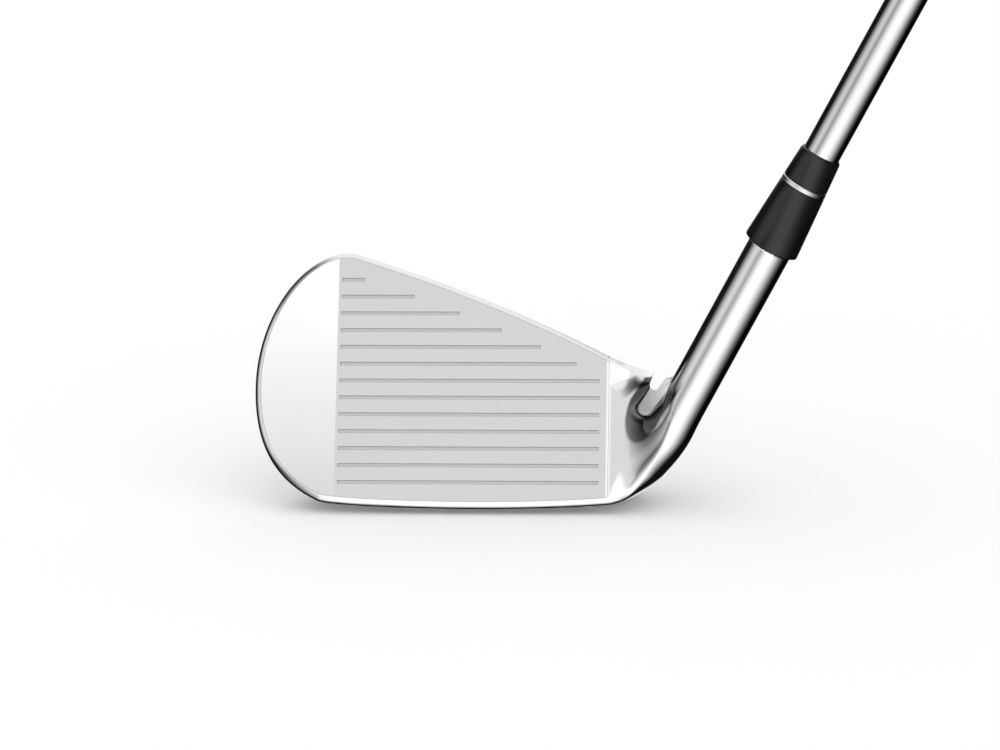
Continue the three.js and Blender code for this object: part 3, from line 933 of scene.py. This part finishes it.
def groove_tool():
    """All the score lines' cutters in one mesh."""
    points, faces = [], []
    for v in PITCH * np.arange(GROOVES):
        corners, sides = groove_cutter(v, groove_end(v))
        faces += [[i + len(points) for i in side] for side in sides]
        points += corners
    u, v, w = np.array(points).T
    return solid("grooves", from_face(u, v, w), faces)


def heel_bevel_tool():
    """A wedge that slopes the plate's heel edge back from the face."""
    above, outer, drop = 1.0, HEEL_BEVEL + 1.8, 0.36
    low, high = -12.0, 45.0
    section = np.array([(HEEL_BEVEL, 0.0), (outer, -drop), (outer, above), (HEEL_BEVEL, above)])
    ring = FACE_O + section[:, :1] * FACE_U + section[:, 1:] * FACE_W
    return prism("heel_bevel", ring, FACE_V, low, high)


def build_face():
    """The strike face: a plate with its score lines cut in and its edges softened."""
    ring = inset_outline(PLATE_INSET + PLATE_GAP, PLATE_HEEL - PLATE_GAP)
    plate = prism("face", on_face(ring), FACE_W, -FACE_T, 0.0)
    carve(plate, [groove_tool(), heel_bevel_tool()])
    soften = plate.modifiers.new("soften", "BEVEL")
    soften.width = 0.12 * MM
    soften.segments = 2
    soften.limit_method = "ANGLE"
    soften.angle_limit = radians(60)
    apply_modifier(plate, soften)
    finish_piece(plate, face_finish(), "face_plate", 5.0)


FERRULE_BORE = 4.25


def ferrule_skin(height):
    """The ferrule's radius at a height: one cone through its three pieces."""
    low, _, radius = span("ferrule_lower")
    return radius - (height - low - 0.5) * tan(radians(4))


def on_skin(heights, offsets):
    """Profile points at these heights, each this far outside the ferrule's cone."""
    return [(ferrule_skin(height) + offset, height) for height, offset in zip(heights, offsets)]


def bored(low, skin, high):
    """A ferrule piece's closed profile: its outer points and the bore behind them."""
    return [(FERRULE_BORE, low)] + skin + [(FERRULE_BORE, high)]


def build_ferrule():
    """Two gloss-black collars with a silver ring between them."""
    black = gloss_black("ferrule_black")
    low, high, radius = span("ferrule_lower")
    lip = [(radius - 0.75, low), (radius - 0.3, low + 0.08), (radius - 0.06, low + 0.3)]
    side = on_skin((low + 0.6, high - 0.2, high), (0.0, 0.0, -0.12))
    turned("ferrule", bored(low, lip + side, high), black, "ferrule_lower")

    silver = plain_metal("ferrule_silver", grey(0.78), 0.16, 1500.0, 0.03)
    low, high, _ = span("ferrule_ring")
    foot_r, top_r = ferrule_skin(low), ferrule_skin(high)
    side = [(foot_r - 0.1, low), (foot_r + 0.02, low + 0.14)]
    side += [(top_r + 0.02, high - 0.14), (top_r - 0.1, high)]
    turned("trim_ring", bored(low, side, high), silver, "ferrule_ring")

    low, high, _ = span("ferrule_upper")
    top_r = ferrule_skin(high)
    side = on_skin((low, low + 0.2, high - 0.7), (-0.12, 0.0, 0.0))
    side += [(top_r - 0.25, high - 0.2), (top_r - 0.6, high)]
    turned("ferrule_top", bored(low, side, high), black, "ferrule_upper")


def build_shaft():
    """A steel tube with the CAD shaft's steps."""
    wall = 0.45
    height, radius = cad_turned("shaft")
    levels = np.unique(np.round(height, 2))
    outer = [(radius[np.abs(height - z) < 0.02].max(), z) for z in levels]
    inner = [(r - wall, z) for r, z in outer][::-1]
    turned("shaft_tube", outer + inner, shaft_chrome(), "shaft", 20.0)


def build_band():
    """The film round the shaft, with its edges pressed down."""
    low, high, radius = span("shaft_band")
    bore, edge = radius - 0.28, radius - 0.05
    profile = [(bore, low), (edge, low), (radius, low + 0.06),
               (radius, high - 0.06), (edge, high), (bore, high)]
    turned("band", profile, printed_band("band_film"), "shaft_band")


GRIP_AROUND, GRIP_ROWS = 144, 560     # vertices round the grip and along it
GRIP_COLUMNS = 12                     # columns of moulded channels
CHANNEL_PITCH = 7.0                   # from channel to channel along a column
GRIP_MOUTH_R = 8.9                    # the grip's radius at its lower end


def grip_relief(height, angle, length):
    """Depth of the moulded pattern: staggered channels, and two grooves near each end."""
    share = height / length
    zone = ramp(share, 0.07, 0.09) * (1 - ramp(share, 0.93, 0.95))
    column = angle * GRIP_COLUMNS / (2 * np.pi)
    row = height / CHANNEL_PITCH + 0.5 * (np.floor(column) % 2)
    across = np.maximum(np.abs(column % 1 - 0.5) * 4.5 - 1.25, 0)
    along = np.maximum(np.abs(row % 1 - 0.5) * CHANNEL_PITCH - 0.25, 0)
    channels = 1 - ramp(np.hypot(across, along), 0.25, 0.8)
    places = (6.0, 9.0, length - 6.0, length - 9.0)
    rings = sum(1 - ramp(np.abs(height - place), 0.4, 0.9) for place in places)
    return 0.42 * zone * channels + 0.35 * np.minimum(rings, 1)


def build_grip():
    """The rubber sleeve: a tapered tube with its moulded pattern."""
    low, high, butt = span("grip_sleeve")
    length = high - low
    heights = np.linspace(low, high, GRIP_ROWS)
    turn = np.arange(GRIP_AROUND) * 2 * np.pi / GRIP_AROUND
    height, angle = np.meshgrid(heights, turn, indexing="ij")
    skin = mix(GRIP_MOUTH_R, butt, ((heights - low) / length) ** 1.15)
    radius = skin[:, None] - grip_relief(height - low, angle, length)
    bore = span("grip_tape")[2] + 0.1
    height = np.concatenate([height, np.full((1, GRIP_AROUND), high), np.full((1, GRIP_AROUND), low)])
    radius = np.concatenate([radius, np.full((2, GRIP_AROUND), bore)])
    e1, e2 = shaft_frame()
    spoke = np.outer(np.cos(turn), e1) + np.outer(np.sin(turn), e2)
    points = (AXIS_O + height[..., None] * AXIS + radius[..., None] * spoke).reshape(-1, 3)

    number = np.arange(len(points)).reshape(-1, GRIP_AROUND)
    above = np.roll(number, -1, 0)
    quads = np.stack([number, np.roll(number, -1, 1), np.roll(above, -1, 1), above], -1).reshape(-1, 4)
    piece = fast_mesh("grip", points, quads)
    outwards(piece)
    finish_piece(piece, rubber("grip_rubber", 0.018), "grip_sleeve", 60.0)


def build_cap():
    """The grip's end cap, with a shallow dish round its vent hole."""
    low, high, radius = span("grip_cap")
    vent, dish, round_r = 1.2, high - 0.35, 2.2
    dome = [(radius - 0.5, low), (radius, low + 0.4)] + corner(radius, high, round_r)
    dome += [(4.2, high), (3.9, dish), (2.6, dish), (vent + 0.2, dish), (vent, high - 0.6), (vent, low)]
    turned("end_cap", dome, rubber("cap_rubber", 0.022), "grip_cap")


CAD_FINISHES = {
    "badge_adhesive": lambda: polymer("adhesive_film", (0.75, 0.72, 0.6, 1.0), 0.3),
    "badge_damper": lambda: rubber("damper_polymer", 0.03),
    "badge_plate": lambda: plain_metal("badge_metal", grey(0.42), 0.28, 1800.0, 0.08),
    "back_weight": lambda: plain_metal("weight_tungsten", grey(0.30), 0.30, 1600.0, 0.08),
    "hosel_epoxy": lambda: polymer("epoxy", (0.5, 0.42, 0.2, 1.0), 0.25),
    "tip_weight": lambda: plain_metal("plug_brass", (0.72, 0.5, 0.2, 1.0), 0.25),
    "grip_tape": lambda: paper_tape("tape"),
}


def finish_cad_nodes():
    """The pieces that keep their CAD meshes get materials only."""
    for name, make in CAD_FINISHES.items():
        node = NODES[name]
        node.data.materials.clear()
        node.data.materials.append(make())


# ---------------------------------------------------------------- studio
VIEW_AT = Vector((0.00615, 0.005165, 0.02802))        # metres
VIEW_BACK = Vector((0.06697, -0.95672, 0.28321))      # from the club towards the camera
VIEW_UP = Vector((-0.00296, 0.28365, 0.95893))
VIEW_DISTANCE = 1.170
LENS = 187.4
SENSOR = 36.0


def build_camera():
    """The photo's camera. Gives back its right, up and backward directions."""
    data = bpy.data.cameras.new("camera")
    data.lens = LENS
    data.sensor_width = SENSOR
    data.clip_start = 0.01
    camera = linked("camera", data)
    back = VIEW_BACK.normalized()
    right = VIEW_UP.cross(back).normalized()
    up = back.cross(right)
    turn = Matrix((right, up, back)).transposed().to_4x4()
    camera.matrix_world = Matrix.Translation(VIEW_AT + back * VIEW_DISTANCE) @ turn
    bpy.context.scene.camera = camera
    return right, up, back


def floor_material():
    """Matt white paper that polished metal does not mirror."""
    n = Nodes("studio_floor")
    cloud = n.noise(n.place(), 3.0, 2.0)
    mirrored = n.add("ShaderNodeLightPath").outputs["Is Glossy Ray"]
    pale = n.blend(cloud, grey(0.94), grey(0.96))
    see_through = n.add("ShaderNodeBsdfTransparent")
    choose = n.add("ShaderNodeMixShader")
    n.link(mirrored, choose.inputs[0])
    n.link(n.shader.outputs[0], choose.inputs[1])
    n.link(see_through.outputs[0], choose.inputs[2])
    n.link(choose.outputs[0], n.out.inputs[0])
    return n.set(Base_Color=pale, Roughness=1.0, Specular_IOR_Level=0.0)


def build_floor():
    """A sheet of white paper just under the club."""
    half, drop = 4, 0.0004
    mesh = bpy.data.meshes.new("floor")
    corners = [(-half, -half, 0), (half, -half, 0), (half, half, 0), (-half, half, 0)]
    mesh.from_pydata(corners, [], [(0, 1, 2, 3)])
    floor = linked("floor", mesh)
    mesh.materials.append(floor_material())
    floor.location.z = -drop


DIRECT = 1.06             # strength of the plain white that the camera and matt surfaces see


def world_light(world, right, up, back):
    """Brightness of the studio by direction, as polished metal mirrors it."""
    direction = world.add("ShaderNodeTexCoord").outputs["Generated"]

    def dot(vector):
        node = world.add("ShaderNodeVectorMath", operation="DOT_PRODUCT")
        world.link(direction, node.inputs[0])
        node.inputs[1].default_value = tuple(vector)
        return node.outputs["Value"]

    def fade(value, low, high, start, end):
        return world.span(value, low, high, start, end, "SMOOTHSTEP")

    def product(first, *others):
        for other in others:
            first = world.math("MULTIPLY", first, other)
        return first

    front, high, side = dot(back), dot(up), dot(right)
    upper_left = product(fade(high, -0.4, 0.1, 0.0, 0.66), fade(high, 0.55, 0.8, 1.0, 0.12))
    left = world.math("MAXIMUM", fade(side, -0.97, -0.15, 0.1, 1.0), upper_left)
    glow = product(fade(front, -0.35, 0.5, 0.01, 1.26), fade(side, 0.1, 0.95, 1.0, 0.05), left,
                   fade(high, 0.55, 0.9, 1.0, 0.3))
    middle = product(fade(side, -0.6, -0.2, 0.05, 1.0), fade(side, 0.2, 0.6, 1.0, 0.05))
    above = product(fade(high, 0.35, 0.5, 0.0, 1.0), middle)
    rear = product(fade(front, -0.45, -0.65, 0.0, 0.8), fade(high, -0.25, 0.1, 0.0, 1.0),
                   fade(side, -0.45, -0.15, 0.0, 1.0), fade(side, 0.15, 0.45, 1.0, 0.0))
    light = fade(front, -0.9, -0.96, 0.0, 0.8)
    for part in (glow, above, rear):
        light = world.math("MAXIMUM", light, part)
    return light


def build_world(right, up, back):
    """Soft studio: a bright front and darker sides in reflections, and white seen directly."""
    studio = bpy.data.worlds.new("studio")
    bpy.context.scene.world = studio
    world = Tree(studio)
    mirrored = world.add("ShaderNodeLightPath").outputs["Is Glossy Ray"]
    background = world.add("ShaderNodeBackground")
    background.inputs["Color"].default_value = grey(1.0)
    light = world_light(world, right, up, back)
    world.link(world.mixed(mirrored, DIRECT, light), background.inputs["Strength"])
    output = world.add("ShaderNodeOutputWorld")
    world.link(background.outputs[0], output.inputs[0])


build_world(*build_camera())
build_floor()
bpy.context.scene.view_settings.view_transform = "Standard"

build_head()
build_face()
build_ferrule()
build_shaft()
build_band()
build_grip()
build_cap()
finish_cad_nodes()
